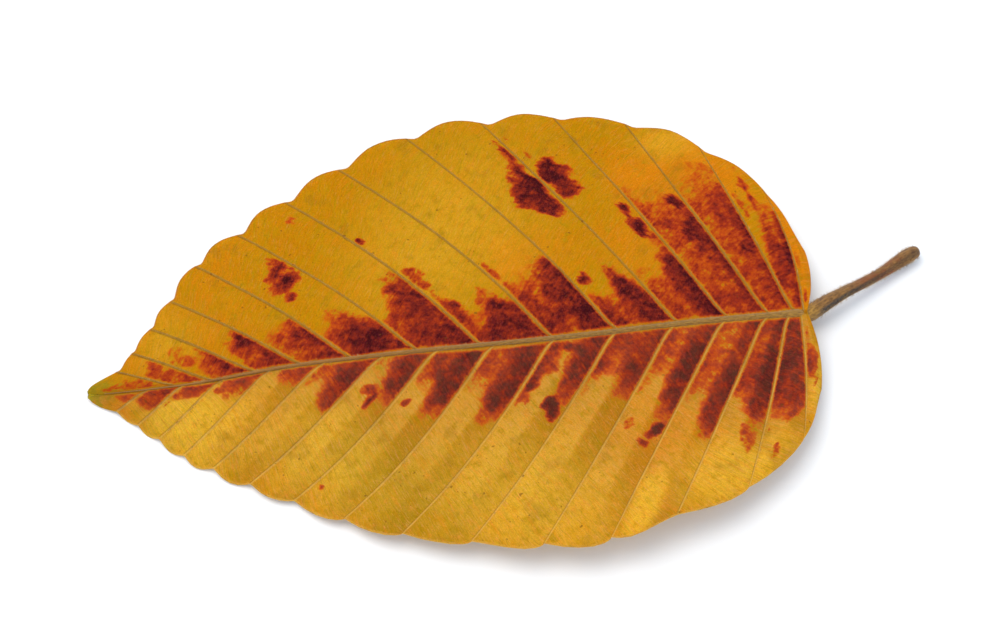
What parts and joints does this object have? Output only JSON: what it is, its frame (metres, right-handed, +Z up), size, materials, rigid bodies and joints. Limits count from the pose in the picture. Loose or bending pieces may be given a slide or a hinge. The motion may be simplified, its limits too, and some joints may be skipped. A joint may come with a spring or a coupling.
{
  "type": "beech leaf",
  "caption": "Fallen autumn beech leaf lying face up: pleated oval blade with a scalloped edge, a raised midrib and a short curved stalk.",
  "frame": {"origin": "bottom centre of the leaf's box, on the surface that it lies on", "axes": "+X along the midrib from the tip to the stalk, +Y across to the leaf's far half, +Z up through the upper face"},
  "size_m": [0.1062, 0.0626, 0.006],
  "materials": {
    "leaf": "dry satin leaf skin, golden yellow with maroon stains between the veins"
  },
  "bodies": {
    "root": {"leaf": "leaf"}
  },
  "joints": []
}
